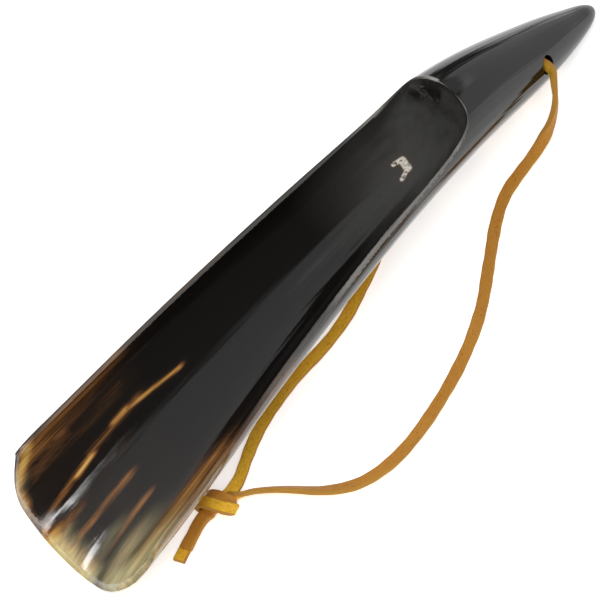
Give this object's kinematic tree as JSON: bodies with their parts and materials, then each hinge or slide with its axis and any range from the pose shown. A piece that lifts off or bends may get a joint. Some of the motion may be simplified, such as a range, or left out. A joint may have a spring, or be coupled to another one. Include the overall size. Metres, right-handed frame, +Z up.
{
  "type": "shoehorn",
  "caption": "Arched natural horn shoehorn: pointed solid handle, hollowed scoop blade, and a leather hanging lace through a cross bore.",
  "frame": {"origin": "centre of the horn's box on the table it rests on, scoop up", "axes": "+X along the horn towards the pointed tip, +Z up out of the scoop, +Y to the left seen from the blade's end"},
  "size_m": [0.2198, 0.0767, 0.0333],
  "materials": {
    "horn": "polished natural horn, near black with amber and cream streaks at the blade's end",
    "lace_leather": "tan grain side, yellow suede flesh side and edges"
  },
  "bodies": {
    "horn": {"horn_body": "horn"},
    "lace": {"lace_bore_span": "lace_leather", "lace_right_strand": "lace_leather", "lace_left_strand": "lace_leather", "lace_knot": "lace_leather", "lace_upper_tail": "lace_leather", "lace_lower_tail": "lace_leather"}
  },
  "joints": [
    {"name": "lace_swing", "type": "hinge", "parent": "horn", "child": "lace", "pos_m": [0.0813, 0, 0.0134], "axis": [0, -1, 0], "range_deg": [0, 180]}
  ]
}
